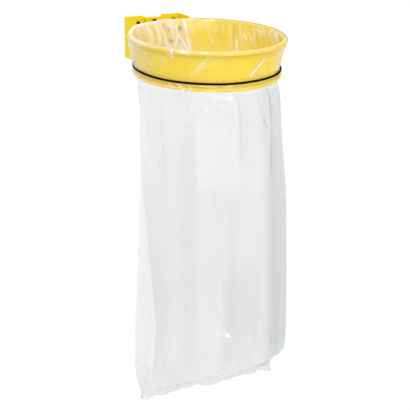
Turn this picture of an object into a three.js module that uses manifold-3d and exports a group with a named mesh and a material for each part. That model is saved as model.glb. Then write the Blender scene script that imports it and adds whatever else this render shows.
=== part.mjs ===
// Wall-hung sack holder: a folded wall bracket, a rolled steel ring that hooks into it,
// and an open film sack folded over the ring and held by an elastic cord.
// Millimetres, +Z up. Origin: middle of the wall plate's back face. The wall is the plane y = 0,
// and the holder stands out from it towards -Y.

import * as THREE from 'three';
import { mergeVertices } from 'three/addons/utils/BufferGeometryUtils.js';
import Module from 'manifold-3d';

const wasm = await Module();
wasm.setup();

// ---------------------------------------------------------------- driving dimensions

const GAP = 0.3; // clearance left between pieces that touch
const ROUND_STEPS = 48; // sides of everything turned about the ring's axis
const SMALL_STEPS = 12; // sides of the fasteners

const SHEET = 3; // bracket and arm sheet
const SCREW_RADIUS = 3;
const BUTTON_HEAD = { headRadius: 5.5, headHeight: 3.3, socketRadius: 2, socketDepth: 1.8 };
const WALL_SCREW_HEAD_RADIUS = 6.5;
const RING_BOLT_HEAD_RADIUS = 6;
const CAP_HEAD = { headRadius: 5, headHeight: 6, socketRadius: 2.5, socketDepth: 3 };
const WASHER_RADIUS = 6;
const WASHER = 1.6; // thickness
const NUT_CORNER_RADIUS = 5.77;
const NUT = 5; // thickness
const BOLT_PAST_NUT = 1.5;

const PLATE_WIDTH = 163;
const PLATE_HEIGHT = 110;
const WING_DEPTH = 67;
const NOTCH_HALF_WIDTH = 27;
const NOTCH_DEPTH = 5;
const WALL_HOLE_X = 65;
const WALL_HOLE_Z = 38;

const BRIDGE_HALF_WIDTH = 22; // outside of the raised part
const BRIDGE_FLANGE_END = 52;
const BRIDGE_TOP = 46.4;
const BRIDGE_BOTTOM = -46.4;
const POCKET_DEPTH = 5.7; // clear space between plate and bridge web
const BRIDGE_SCREW_X = 43;
const BRIDGE_SCREW_Z = 36;

const HOOK_HALF_WIDTH = 24.5;
const TONGUE_HALF_WIDTH = 17.5;
const TONGUE_BOTTOM = -14;
const LOCK_SCREW_Z = 41.5;
const ARM_TOP = 35;
const ARM_BOTTOM = -9;

const RING_RADIUS = 200; // outside of the top bead
const RING_REACH = 326; // wall to ring centre
const RING_TOP = 60.5;
const RING_HEIGHT = 100.5;
const RING_SAG = THREE.MathUtils.degToRad(3.6); // the ring hangs down a little at the front
const RING_SHEET = 1.5;
const TOP_BEAD = 6.4; // section radius of the rolled top edge
const LOW_BEAD = 5; // section radius of the rolled bottom edge
const BAND_TOP_RADIUS = 189.5; // outside of the band just under the top bead
const BAND_BOTTOM_RADIUS = 180.5; // outside of the band just above the bottom bead
const BAND_TOP = -12;
const BAND_BOTTOM = -91;

const SADDLE_HALF_WIDTH = 32;
const SADDLE_TOP = -15;
const SADDLE_BOTTOM = -69;
const RING_BOLT_X = 15;
const RING_BOLT_HEIGHTS = [-24, -56];
const HEAD_GAP = 0.6; // a bolt's head is flat and the band inside it is hollow

const FILM = 1; // thickness that stands for the sack's film
const HEM = -88; // lower edge of the folded-over cuff
const CUFF_GAP_HALF_WIDTH = 36; // the cuff is open here, around the arm
const FILM_GAP = 0.35; // between the film and the metal
const SACK_AXIS_Y = -323;
const SACK_BOTTOM = -908;
const SEAL_HALF_WIDTH = 197;

// The film inside the ring, from the bead down: [radius, height] in the ring's frame.
const THROAT = [
  [181.5, -17],
  [178.3, -46],
  [177.3, -102],
];

// Below the ring the sack is a tube that swells a little and then closes to its flat seal.
// Each station is [height, half width, half depth].
const SACK_STATIONS = [
  [-120, 182, 182],
  [-250, 186, 186],
  [-450, 195, 192],
  [-620, 197, 190],
  [-750, 198, 172],
  [-830, 198, 132],
  [-880, SEAL_HALF_WIDTH, 70],
  [-903, SEAL_HALF_WIDTH, 14],
];

const CORD_RADIUS = 2.5;
const CORD_HEIGHT = -79.6;

// ---------------------------------------------------------------- materials

const material = (color, roughness, metalness) =>
  new THREE.MeshStandardMaterial({ color, roughness, metalness });

const YELLOW_COAT = material(0xf7cf0c, 0.35, 0.1);
const BLACK_OXIDE = material(0x1b1b1c, 0.5, 0.6);
const ZINC = material(0xb9bcbf, 0.35, 0.9);
const RUBBER = material(0x14120e, 0.8, 0);
const FILM_CLEAR = new THREE.MeshStandardMaterial({
  color: 0xeceeee,
  roughness: 0.2,
  metalness: 0,
  transparent: true,
  opacity: 0.45,
  side: THREE.DoubleSide,
});

// ---------------------------------------------------------------- solids

// A closed geometry as a manifold-3d solid, for joining and cutting.
function solidOf(geometry) {
  const bare = geometry.index ? geometry.clone() : geometry;
  bare.deleteAttribute('normal');
  bare.deleteAttribute('uv');
  const merged = mergeVertices(bare, 1e-4);
  return new wasm.Manifold(
    new wasm.Mesh({
      numProp: 3,
      vertProperties: new Float32Array(merged.attributes.position.array),
      triVerts: new Uint32Array(merged.index.array),
    }),
  );
}

function geometryOf(solid) {
  const mesh = solid.getMesh();
  const geometry = new THREE.BufferGeometry();
  const positions = new Float32Array(mesh.vertProperties);
  geometry.setAttribute('position', new THREE.BufferAttribute(positions, 3));
  geometry.setIndex(new THREE.BufferAttribute(new Uint32Array(mesh.triVerts), 1));
  const flat = geometry.toNonIndexed();
  flat.computeVertexNormals();
  return flat;
}

const joined = (solids) => solids.reduce((sum, next) => sum.add(next));
const cut = (solid, tools) => tools.reduce((rest, tool) => rest.subtract(tool), solid);

// A box between two opposite corners, in any order.
function block([x0, y0, z0], [x1, y1, z1]) {
  const box = new THREE.BoxGeometry(Math.abs(x1 - x0), Math.abs(y1 - y0), Math.abs(z1 - z0));
  box.translate((x0 + x1) / 2, (y0 + y1) / 2, (z0 + z1) / 2);
  return solidOf(box);
}

// A closed [radius, height] outline turned about the Z axis.
function turned(outline, steps = ROUND_STEPS) {
  const points = outline.map(([r, z]) => new THREE.Vector2(r, z));
  const next = (i) => points[(i + 1) % points.length];
  const area = points.reduce((sum, p, i) => sum + p.x * next(i).y - next(i).x * p.y, 0);
  if (area < 0) points.reverse();
  points.push(points[0].clone());
  const lathe = new THREE.LatheGeometry(points, steps);
  lathe.rotateX(Math.PI / 2);
  return lathe;
}

// A solid turned part: its outline starts and ends on the Z axis.
function turnedOnAxis(outline, steps = SMALL_STEPS) {
  const points = outline.map(([r, z]) => new THREE.Vector2(r, z));
  const lathe = new THREE.LatheGeometry(points, steps);
  lathe.rotateX(Math.PI / 2);
  return lathe;
}

// Points on an arc in the [radius, height] plane, from one angle to another in degrees.
function arc([r, z], radius, from, to, steps) {
  return Array.from({ length: steps + 1 }, (_, i) => {
    const angle = THREE.MathUtils.degToRad(from + ((to - from) * i) / steps);
    return [r + radius * Math.cos(angle), z + radius * Math.sin(angle)];
  });
}

// A round bar along Y between two depths.
function barAlongY(radius, x, z, y0, y1) {
  const bar = new THREE.CylinderGeometry(radius, radius, y1 - y0, SMALL_STEPS);
  bar.translate(x, (y0 + y1) / 2, z);
  return solidOf(bar);
}

const signs = [-1, 1];
const sideName = (sign) => (sign < 0 ? 'left' : 'right');

// ---------------------------------------------------------------- group and frames

const holder = new THREE.Group();

function addMesh(parent, name, geometry, look) {
  const mesh = new THREE.Mesh(geometry, look);
  mesh.name = name;
  parent.add(mesh);
  return mesh;
}

// The ring's own frame: its origin is the centre of the ring's top plane. The ring tips
// about the back of its top edge.
const ringMatrix = new THREE.Matrix4()
  .makeTranslation(0, RING_RADIUS - RING_REACH, RING_TOP)
  .multiply(new THREE.Matrix4().makeRotationX(RING_SAG))
  .multiply(new THREE.Matrix4().makeTranslation(0, -RING_RADIUS, 0));

const ringGroup = new THREE.Group();
ringGroup.applyMatrix4(ringMatrix);
holder.add(ringGroup);

// Outside radius of the conical band at a height in the ring's frame.
function bandRadius(z) {
  const t = (BAND_TOP - z) / (BAND_TOP - BAND_BOTTOM);
  return THREE.MathUtils.lerp(BAND_TOP_RADIUS, BAND_BOTTOM_RADIUS, t);
}

// ---------------------------------------------------------------- wall plate

const halfPlate = PLATE_WIDTH / 2;
const plateTop = PLATE_HEIGHT / 2;
const screwHole = SCREW_RADIUS + GAP;
const past = 1; // how far a cutting tool runs past the faces that it cuts

function wallPlate() {
  const back = block([-halfPlate, -SHEET, -plateTop], [halfPlate, 0, plateTop]);
  const wings = signs.map((side) => {
    const inner = side * (halfPlate - SHEET);
    return block([inner, -WING_DEPTH, -plateTop], [side * halfPlate, 0, plateTop]);
  });
  const notch = block(
    [-NOTCH_HALF_WIDTH, -SHEET - past, plateTop - NOTCH_DEPTH],
    [NOTCH_HALF_WIDTH, past, plateTop + past],
  );
  const holes = signs.flatMap((side) =>
    signs.flatMap((level) => [
      barAlongY(screwHole, side * WALL_HOLE_X, level * WALL_HOLE_Z, -SHEET - past, past),
      barAlongY(screwHole, side * BRIDGE_SCREW_X, level * BRIDGE_SCREW_Z, -SHEET - past, past),
    ]),
  );
  return geometryOf(cut(joined([back, ...wings]), [notch, ...holes]));
}

addMesh(holder, 'wall_plate', wallPlate(), YELLOW_COAT);

// ---------------------------------------------------------------- hook bridge

const flangeBack = -SHEET - GAP;
const flangeFront = flangeBack - SHEET;
const webBack = -SHEET - POCKET_DEPTH;
const webFront = webBack - SHEET;

// A hat section screwed to the plate. The ring's tongue drops into the pocket behind it.
function hookBridge() {
  const web = block(
    [-BRIDGE_HALF_WIDTH, webFront, BRIDGE_BOTTOM],
    [BRIDGE_HALF_WIDTH, webBack, BRIDGE_TOP],
  );
  const innerSide = BRIDGE_HALF_WIDTH - SHEET;
  const legs = signs.map((side) =>
    block(
      [side * innerSide, webFront, BRIDGE_BOTTOM],
      [side * BRIDGE_HALF_WIDTH, flangeBack, BRIDGE_TOP],
    ),
  );
  const flanges = signs.map((side) =>
    block(
      [side * innerSide, flangeFront, BRIDGE_BOTTOM],
      [side * BRIDGE_FLANGE_END, flangeBack, BRIDGE_TOP],
    ),
  );
  const holes = signs.flatMap((side) =>
    signs.map((level) => {
      const x = side * BRIDGE_SCREW_X;
      const z = level * BRIDGE_SCREW_Z;
      return barAlongY(screwHole, x, z, flangeFront - past, flangeBack + past);
    }),
  );
  return geometryOf(cut(joined([web, ...legs, ...flanges]), holes));
}

addMesh(holder, 'hook_bridge', hookBridge(), YELLOW_COAT);

// ---------------------------------------------------------------- screws in the bracket

// A screw whose head faces +Z. z = 0 is under the head. The head's side is nearly straight up
// to its shoulder and then slopes in to its crown.
function headedScrew({ headRadius, headHeight, socketRadius, socketDepth }, shankLength) {
  const shoulder = [headRadius * 0.96, headHeight * 0.45];
  const crown = [headRadius * 0.66, headHeight];
  return turnedOnAxis([
    [0, -shankLength],
    [SCREW_RADIUS, -shankLength],
    [SCREW_RADIUS, 0],
    [headRadius, 0],
    shoulder,
    crown,
    [socketRadius, headHeight],
    [socketRadius, headHeight - socketDepth],
    [0, headHeight - socketDepth],
  ]);
}

// Places a part made along +Z so that it points out of the wall, along -Y.
function placeOutOfWall(mesh, x, y, z) {
  mesh.rotation.x = Math.PI / 2;
  mesh.position.set(x, y, z);
}

const wallScrewHead = { ...BUTTON_HEAD, headRadius: WALL_SCREW_HEAD_RADIUS };

for (const side of signs) {
  for (const level of signs) {
    const place = `${level > 0 ? 'upper' : 'lower'}_${sideName(side)}`;

    const wallHead = -SHEET - GAP;
    const wallScrew = headedScrew(wallScrewHead, -wallHead - GAP);
    const wallMesh = addMesh(holder, `wall_screw_${place}`, wallScrew, BLACK_OXIDE);
    placeOutOfWall(wallMesh, side * WALL_HOLE_X, wallHead, level * WALL_HOLE_Z);

    const bridgeHead = flangeFront - GAP;
    const bridgeScrew = headedScrew(BUTTON_HEAD, -bridgeHead - GAP);
    const bridgeMesh = addMesh(holder, `bridge_screw_${place}`, bridgeScrew, BLACK_OXIDE);
    placeOutOfWall(bridgeMesh, side * BRIDGE_SCREW_X, bridgeHead, level * BRIDGE_SCREW_Z);
  }
}

// ---------------------------------------------------------------- ring arm

const tongueBack = -SHEET - (POCKET_DEPTH - SHEET) / 2;
const tongueFront = tongueBack - SHEET;
const hookUnder = BRIDGE_TOP + GAP;
const hookTop = hookUnder + SHEET;
const legBack = webFront - GAP;
const legFront = legBack - SHEET;
const intoRing = 40; // the channel starts well inside the ring and is trimmed
const armEnd = RING_RADIUS - RING_REACH - intoRing;

// The solid that the ring fills, with a clearance all round, for trimming what meets it.
function ringBlank(clearance) {
  const bottom = SADDLE_BOTTOM - 30;
  const top = 10;
  const overBead = RING_RADIUS + 3;
  const outline = [
    [0, bottom],
    [bandRadius(bottom) + clearance, bottom],
    [bandRadius(BAND_TOP) + clearance, BAND_TOP],
    [overBead, BAND_TOP],
    [overBead, top],
    [0, top],
  ];
  return solidOf(turnedOnAxis(outline, ROUND_STEPS).applyMatrix4(ringMatrix));
}

// The part of the ring's surroundings within a distance of its middle plane, at the back.
function backSector(halfWidth) {
  const below = -120;
  const above = 30;
  return block([-halfWidth, 0, below], [halfWidth, 2 * RING_RADIUS, above]);
}

// The curved end plate that is bolted to the back of the band.
function saddle() {
  const shell = turned([
    [bandRadius(SADDLE_BOTTOM) + GAP, SADDLE_BOTTOM],
    [bandRadius(SADDLE_BOTTOM) + GAP + SHEET, SADDLE_BOTTOM],
    [bandRadius(SADDLE_TOP) + GAP + SHEET, SADDLE_TOP],
    [bandRadius(SADDLE_TOP) + GAP, SADDLE_TOP],
  ]);
  const sector = solidOf(shell).intersect(backSector(SADDLE_HALF_WIDTH));
  return solidOf(geometryOf(sector).applyMatrix4(ringMatrix));
}

// Angle from the back of the ring, and the radius, for one bolt.
const boltAngle = (side) => Math.asin((side * RING_BOLT_X) / BAND_TOP_RADIUS);

// The frame of one ring bolt: +Z runs outwards through the band, and z = 0 is the band's
// outside face.
function boltMatrix(side, height) {
  const lean = Math.atan2(BAND_TOP_RADIUS - BAND_BOTTOM_RADIUS, BAND_TOP - BAND_BOTTOM);
  return new THREE.Matrix4()
    .makeRotationZ(-boltAngle(side))
    .multiply(new THREE.Matrix4().makeTranslation(0, bandRadius(height), height))
    .multiply(new THREE.Matrix4().makeRotationX(-Math.PI / 2 - lean));
}

function boltHoles() {
  const drillLength = 24;
  return signs.flatMap((side) =>
    RING_BOLT_HEIGHTS.map((height) => {
      const drill = new THREE.CylinderGeometry(screwHole, screwHole, drillLength, SMALL_STEPS);
      drill.rotateX(Math.PI / 2);
      return drill.applyMatrix4(boltMatrix(side, height));
    }),
  );
}

// One folded piece: a tongue behind the bridge, a hook over its top edge, a front leg with
// the lock screw, and a channel that carries the saddle.
function ringArm() {
  const w = HOOK_HALF_WIDTH;
  const tongue = block(
    [-TONGUE_HALF_WIDTH, tongueFront, TONGUE_BOTTOM],
    [TONGUE_HALF_WIDTH, tongueBack, hookTop],
  );
  const hook = block([-w, legFront, hookUnder], [w, tongueBack, hookTop]);
  const leg = block([-w, legFront, ARM_BOTTOM], [w, legBack, hookTop]);
  const floor = block([-w, armEnd, ARM_BOTTOM], [w, legBack, ARM_BOTTOM + SHEET]);
  const cheeks = signs.map((side) =>
    block([side * (w - SHEET), armEnd, ARM_BOTTOM], [side * w, legBack, ARM_TOP]),
  );
  const channel = cut(joined([floor, ...cheeks]), [ringBlank(GAP)]);
  const lockHole = barAlongY(screwHole, 0, LOCK_SCREW_Z, legFront - past, legBack + past);
  const holes = boltHoles().map((drill) => solidOf(drill.applyMatrix4(ringMatrix)));
  return geometryOf(cut(joined([tongue, hook, leg, channel, saddle()]), [lockHole, ...holes]));
}

addMesh(holder, 'ring_arm', ringArm(), YELLOW_COAT);

// The lock screw presses on the bridge's front face and keeps the hooked-on ring down.
const lockTipGap = 0.05;
const lockScrew = headedScrew(CAP_HEAD, SHEET + GAP - lockTipGap);
const lockMesh = addMesh(holder, 'lock_screw', lockScrew, BLACK_OXIDE);
placeOutOfWall(lockMesh, 0, legFront - GAP, LOCK_SCREW_Z);

// ---------------------------------------------------------------- ring

const topBeadCentre = [RING_RADIUS - TOP_BEAD, -TOP_BEAD];
const lowBeadCentre = [BAND_BOTTOM_RADIUS + 2, LOW_BEAD - RING_HEIGHT];

// Where the rolls' sheet starts at the band, on its outer and inner side, and where it ends,
// in degrees round the roll's centre.
const TOP_ROLL = { outer: 215, inner: 205, end: -105 };
const LOW_ROLL = { outer: 145, inner: 150, end: 460 };

// Conical band with both edges rolled outwards. The rolls stay open by a small slit.
function ringBand() {
  const outline = [
    ...arc(topBeadCentre, TOP_BEAD, TOP_ROLL.outer, TOP_ROLL.end, 9),
    ...arc(topBeadCentre, TOP_BEAD - RING_SHEET, TOP_ROLL.end, TOP_ROLL.inner, 6),
    [BAND_TOP_RADIUS, BAND_TOP],
    [BAND_BOTTOM_RADIUS, BAND_BOTTOM],
    ...arc(lowBeadCentre, LOW_BEAD - RING_SHEET, LOW_ROLL.inner, LOW_ROLL.end, 5),
    ...arc(lowBeadCentre, LOW_BEAD, LOW_ROLL.end, LOW_ROLL.outer, 7),
    [BAND_BOTTOM_RADIUS - RING_SHEET, BAND_BOTTOM],
    [BAND_TOP_RADIUS - RING_SHEET, BAND_TOP],
  ];
  return geometryOf(cut(solidOf(turned(outline)), boltHoles().map(solidOf)));
}

addMesh(ringGroup, 'ring_band', ringBand(), YELLOW_COAT);

// ---------------------------------------------------------------- ring bolts

function hexNut() {
  const corners = Array.from({ length: 6 }, (_, i) => {
    const angle = (i * Math.PI) / 3;
    return new THREE.Vector2(Math.cos(angle), Math.sin(angle)).multiplyScalar(NUT_CORNER_RADIUS);
  });
  const hexagon = new THREE.Shape(corners);
  hexagon.holes.push(new THREE.Path().absarc(0, 0, screwHole, 0, 2 * Math.PI, true));
  return new THREE.ExtrudeGeometry(hexagon, {
    depth: NUT,
    bevelEnabled: false,
    curveSegments: SMALL_STEPS / 2,
  });
}

function flatWasher() {
  return turned(
    [
      [screwHole, 0],
      [WASHER_RADIUS, 0],
      [WASHER_RADIUS, WASHER],
      [screwHole, WASHER],
    ],
    SMALL_STEPS,
  );
}

const washerStart = GAP + SHEET + GAP;
const nutStart = washerStart + WASHER + GAP;
const boltEnd = nutStart + NUT + BOLT_PAST_NUT;
const underHead = -RING_SHEET - HEAD_GAP;
const ringBoltHead = { ...BUTTON_HEAD, headRadius: RING_BOLT_HEAD_RADIUS };

for (const side of signs) {
  RING_BOLT_HEIGHTS.forEach((height, row) => {
    const place = `${row === 0 ? 'upper' : 'lower'}_${sideName(side)}`;
    const frame = boltMatrix(side, height);

    // The head sits inside the ring, so the bolt is turned over.
    const bolt = headedScrew(ringBoltHead, boltEnd - underHead);
    bolt.rotateX(Math.PI);
    bolt.translate(0, 0, underHead);
    addMesh(ringGroup, `ring_bolt_${place}`, bolt.applyMatrix4(frame), ZINC);

    const washer = flatWasher();
    washer.translate(0, 0, washerStart);
    addMesh(ringGroup, `ring_washer_${place}`, washer.applyMatrix4(frame), ZINC);

    const nut = hexNut();
    nut.translate(0, 0, nutStart);
    addMesh(ringGroup, `ring_nut_${place}`, nut.applyMatrix4(frame), ZINC);
  });
}

// ---------------------------------------------------------------- sack

// Where the film leaves the top bead, outside and inside, in degrees round its centre.
const FILM_ROLL = { outer: -65, inner: 185 };
const underBead = BAND_TOP - 4;

// Rows of points around the sack, each at a distance off the metal side of the film.
// offset 0 is the side that faces the ring, and offset FILM is the other side.
function cuffAndThroat(offset) {
  const off = FILM_GAP + offset;
  return [
    [bandRadius(HEM) + off, HEM],
    [bandRadius(BAND_TOP) + off, underBead],
    ...arc(topBeadCentre, TOP_BEAD + off, FILM_ROLL.outer, FILM_ROLL.inner, 7),
    ...THROAT.map(([r, z]) => [r - offset, z]),
  ].map(([r, z]) => ringRow(r, z));
}

// One circle of points in the ring's frame.
function ringRow(radius, z) {
  return Array.from({ length: ROUND_STEPS }, (_, i) => {
    const angle = (2 * Math.PI * i) / ROUND_STEPS;
    const point = new THREE.Vector3(radius * Math.sin(angle), -radius * Math.cos(angle), z);
    return point.applyMatrix4(ringMatrix);
  });
}

function sackBody(offset) {
  return SACK_STATIONS.map(([z, halfWidth, halfDepth]) =>
    Array.from({ length: ROUND_STEPS }, (_, i) => {
      const angle = (2 * Math.PI * i) / ROUND_STEPS;
      const x = (halfWidth - offset) * Math.sin(angle);
      const y = SACK_AXIS_Y - (halfDepth - offset) * Math.cos(angle);
      return new THREE.Vector3(x, y, z + offset);
    }),
  );
}

// A closed skin over rows of points, with a single point at each end.
function skin(firstPoint, rows, lastPoint) {
  const positions = [firstPoint, ...rows.flat(), lastPoint].flatMap((p) => p.toArray());
  const index = [];
  const at = (row, i) => 1 + row * ROUND_STEPS + (i % ROUND_STEPS);
  const last = positions.length / 3 - 1;
  for (let i = 0; i < ROUND_STEPS; i += 1) {
    index.push(0, at(0, i), at(0, i + 1));
    for (let row = 0; row + 1 < rows.length; row += 1) {
      index.push(at(row, i), at(row + 1, i), at(row, i + 1));
      index.push(at(row, i + 1), at(row + 1, i), at(row + 1, i + 1));
    }
    index.push(last, at(rows.length - 1, i + 1), at(rows.length - 1, i));
  }
  const geometry = new THREE.BufferGeometry();
  geometry.setAttribute('position', new THREE.BufferAttribute(new Float32Array(positions), 3));
  geometry.setIndex(index);
  return geometry;
}

// What is taken out of the cuff around the arm: all that lies outside the band, up to the
// top of the bead.
function cuffGap() {
  const bite = 0.7;
  const outside = RING_RADIUS + 10;
  const above = 20;
  const outline = [
    [bandRadius(-RING_HEIGHT) - bite, -RING_HEIGHT],
    [outside, -RING_HEIGHT],
    [outside, above],
    [topBeadCentre[0], above],
    topBeadCentre,
    [BAND_TOP_RADIUS - bite, BAND_TOP],
  ];
  const sector = solidOf(turned(outline)).intersect(backSector(CUFF_GAP_HALF_WIDTH));
  return solidOf(geometryOf(sector).applyMatrix4(ringMatrix));
}

const sealDepth = 6;

// The film runs from the seal up the inside, over the top bead and down to the hem. Around
// the arm it ends on top of the bead.
function sack() {
  const inside = [...sackBody(FILM).reverse(), ...cuffAndThroat(FILM).reverse()];
  const outside = [...cuffAndThroat(0), ...sackBody(0)];
  const insideFloor = new THREE.Vector3(0, SACK_AXIS_Y, SACK_BOTTOM + sealDepth);
  const outsideFloor = new THREE.Vector3(0, SACK_AXIS_Y, SACK_BOTTOM);
  const whole = solidOf(skin(insideFloor, [...inside, ...outside], outsideFloor));
  return geometryOf(whole.subtract(cuffGap()));
}

addMesh(holder, 'bag', sack(), FILM_CLEAR);

// ---------------------------------------------------------------- elastic cord

const cordCentre = bandRadius(CORD_HEIGHT) + FILM_GAP + FILM + FILM_GAP + CORD_RADIUS;
const cordOutline = arc([cordCentre, CORD_HEIGHT], CORD_RADIUS, 0, 315, 7); // an octagon
addMesh(ringGroup, 'elastic_cord', turned(cordOutline), RUBBER);

export default holder;
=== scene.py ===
"""Looks of the wall-hung sack holder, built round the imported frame.

Metres, +Z up. The wall is the plane y = 0 and the holder stands out from it towards -Y.
Angles round the ring are measured from its front: 0 is -Y, 90 is +X, 180 is the wall side.
"""

import math

import bpy
import numpy as np
from mathutils import Matrix, Vector


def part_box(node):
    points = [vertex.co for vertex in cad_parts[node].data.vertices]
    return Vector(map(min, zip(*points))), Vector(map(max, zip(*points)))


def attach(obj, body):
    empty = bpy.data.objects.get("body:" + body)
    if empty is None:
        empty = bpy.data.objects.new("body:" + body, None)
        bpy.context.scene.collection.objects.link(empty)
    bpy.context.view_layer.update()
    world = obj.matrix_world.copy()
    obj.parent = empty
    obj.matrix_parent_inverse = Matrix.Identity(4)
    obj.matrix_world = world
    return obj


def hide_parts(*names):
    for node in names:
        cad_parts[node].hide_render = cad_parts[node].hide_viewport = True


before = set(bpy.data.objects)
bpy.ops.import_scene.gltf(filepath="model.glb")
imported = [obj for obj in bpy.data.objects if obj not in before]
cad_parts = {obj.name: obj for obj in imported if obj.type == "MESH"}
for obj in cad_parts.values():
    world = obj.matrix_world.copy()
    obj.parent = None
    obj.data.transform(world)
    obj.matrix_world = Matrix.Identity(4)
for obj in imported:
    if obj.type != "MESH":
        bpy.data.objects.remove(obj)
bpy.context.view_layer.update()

MM = 0.001
TAU = 2 * math.pi

# ---------------------------------------------------------------- shared sizes, in mm

RING_RADIUS = 200
RING_TOP = 60.5
RING_HEIGHT = 100.5
RING_PIVOT_Y = -126  # the ring tips down about the back of its top edge
RING_SAG = math.radians(3.6)
RING_SHEET = 1.5
TOP_BEAD = 6.4
LOW_BEAD = 5
BAND_TOP_RADIUS, BAND_TOP = 189.5, -12
BAND_BOTTOM_RADIUS, BAND_BOTTOM = 180.5, -91
CORD_RADIUS = 2.6
CORD_HEIGHT = -80.1
CORD_RING = 185.6
SACK_BOTTOM = -908

ring_matrix = (
    Matrix.Translation((0, RING_PIVOT_Y * MM, RING_TOP * MM))
    @ Matrix.Rotation(RING_SAG, 4, "X")
    @ Matrix.Translation((0, -RING_RADIUS * MM, 0))
)


def ring_to_world(points):
    """Points of the ring's own frame, in mm, as points of the row frame, in metres."""
    m = np.array(ring_matrix)
    return (points * MM) @ m[:3, :3].T + m[:3, 3]


# ---------------------------------------------------------------- camera


CAMERA_PLACE = (-1.40701, -2.96110, 0.52295)
CAMERA_DOWN = 17.135  # degrees below level
CAMERA_ASIDE = -27.957  # degrees round from straight at the wall
CAMERA_LENS, CAMERA_SENSOR = 105.37, 36
CAMERA_REACH = 200


def make_camera():
    data = bpy.data.cameras.new("camera")
    data.sensor_width = CAMERA_SENSOR
    data.lens = CAMERA_LENS
    data.clip_end = CAMERA_REACH
    camera = bpy.data.objects.new("camera", data)
    camera.location = CAMERA_PLACE
    camera.rotation_euler = (math.radians(90 - CAMERA_DOWN), 0, math.radians(CAMERA_ASIDE))
    bpy.context.collection.objects.link(camera)
    bpy.context.scene.camera = camera


# ---------------------------------------------------------------- node materials


class Nodes:
    """A short way to write a node tree."""

    def __init__(self, name):
        self.material = bpy.data.materials.new(name)
        self.material.use_nodes = True
        self.tree = self.material.node_tree
        self.tree.nodes.clear()
        self.output = self.tree.nodes.new("ShaderNodeOutputMaterial")

    def add(self, kind, inputs=None, **settings):
        node = self.tree.nodes.new("ShaderNode" + kind)
        for key, value in settings.items():
            setattr(node, key, value)
        for key, value in (inputs or {}).items():
            self.put(node, key, value)
        return node

    def put(self, node, key, value):
        if isinstance(value, bpy.types.NodeSocket):
            self.tree.links.new(value, node.inputs[key])
        else:
            node.inputs[key].default_value = value

    def place(self):
        return self.add("TexCoord").outputs["Object"]

    def noise(self, scale, detail=3.0, roughness=0.5, vector=None, stretch=None):
        vector = vector or self.place()
        if stretch:
            mapping = self.add("Mapping", {"Vector": vector, "Scale": stretch})
            vector = mapping.outputs["Vector"]
        node = self.add(
            "TexNoise",
            {"Vector": vector, "Scale": scale, "Detail": detail, "Roughness": roughness},
        )
        return node.outputs["Fac"]

    def ramp(self, value, low, high, to_low=0.0, to_high=1.0):
        ends = {"From Min": low, "From Max": high, "To Min": to_low, "To Max": to_high}
        return self.add("MapRange", {"Value": value, **ends}).outputs["Result"]

    def math(self, operation, a, b=0.0):
        node = self.add("Math", operation=operation)
        self.put(node, 0, a)
        self.put(node, 1, b)
        return node.outputs["Value"]

    def mix_colour(self, fac, a, b):
        node = self.add("Mix", data_type="RGBA")
        self.put(node, "Factor", fac)
        self.put(node, 6, a)
        self.put(node, 7, b)
        return node.outputs[2]

    def bump(self, height, strength, distance, normal=None):
        inputs = {"Height": height, "Strength": strength, "Distance": distance}
        if normal:
            inputs["Normal"] = normal
        return self.add("Bump", inputs).outputs["Normal"]

    def surface(self, colour, roughness, specular=0.5, metallic=0.0, normal=None):
        inputs = {
            "Base Color": colour,
            "Roughness": roughness,
            "Specular IOR Level": specular,
            "Metallic": metallic,
        }
        if normal:
            inputs["Normal"] = normal
        return self.add("BsdfPrincipled", inputs).outputs["BSDF"]

    def finish(self, shader):
        self.tree.links.new(shader, self.output.inputs["Surface"])
        return self.material


def yellow_coat():
    """Polyester powder coat: fine orange peel and slight unevenness."""
    n = Nodes("yellow_coat")
    patches = n.noise(9.0, 4.0, 0.6)
    specks = n.noise(900.0, 2.0, 0.6)
    colour = n.mix_colour(
        n.ramp(patches, 0.35, 0.68), (0.875, 0.635, 0.003, 1), (0.915, 0.675, 0.004, 1)
    )
    colour = n.mix_colour(
        n.ramp(specks, 0.66, 0.74, 0.0, 0.25), colour, (0.80, 0.47, 0.004, 1)
    )
    peel = n.noise(520.0, 1.0, 0.4)
    swell = n.noise(45.0, 2.0, 0.5)
    normal = n.bump(peel, 0.10, 0.0006)
    normal = n.bump(swell, 0.06, 0.003, normal)
    roughness = n.ramp(n.noise(30.0, 3.0), 0.3, 0.7, 0.34, 0.48)
    return n.finish(n.surface(colour, roughness, specular=0.05, normal=normal))


def black_oxide():
    """Blackened steel, worn a little lighter on its edges."""
    n = Nodes("black_screw")
    colour = n.mix_colour(
        n.ramp(n.noise(260.0, 4.0), 0.35, 0.7),
        (0.006, 0.006, 0.006, 1),
        (0.016, 0.015, 0.015, 1),
    )
    edge = n.ramp(n.add("NewGeometry").outputs["Pointiness"], 0.54, 0.62, 0.0, 0.7)
    colour = n.mix_colour(edge, colour, (0.05, 0.048, 0.045, 1))
    roughness = n.ramp(n.noise(180.0, 3.0), 0.3, 0.7, 0.32, 0.52)
    grain = n.bump(n.noise(1400.0, 2.0), 0.12, 0.0002)
    return n.finish(n.surface(colour, roughness, specular=0.25, normal=grain))


def zinc():
    """Zinc plate with a yellowish passivation."""
    n = Nodes("zinc_steel")
    spangle = n.noise(320.0, 3.0, 0.6)
    colour = n.mix_colour(
        n.ramp(spangle, 0.3, 0.7), (0.20, 0.17, 0.09, 1), (0.32, 0.27, 0.14, 1)
    )
    roughness = n.ramp(n.noise(400.0, 3.0), 0.3, 0.7, 0.24, 0.42)
    grain = n.bump(n.noise(1500.0, 2.0), 0.10, 0.0002)
    return n.finish(n.surface(colour, roughness, metallic=0.95, normal=grain))


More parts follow.
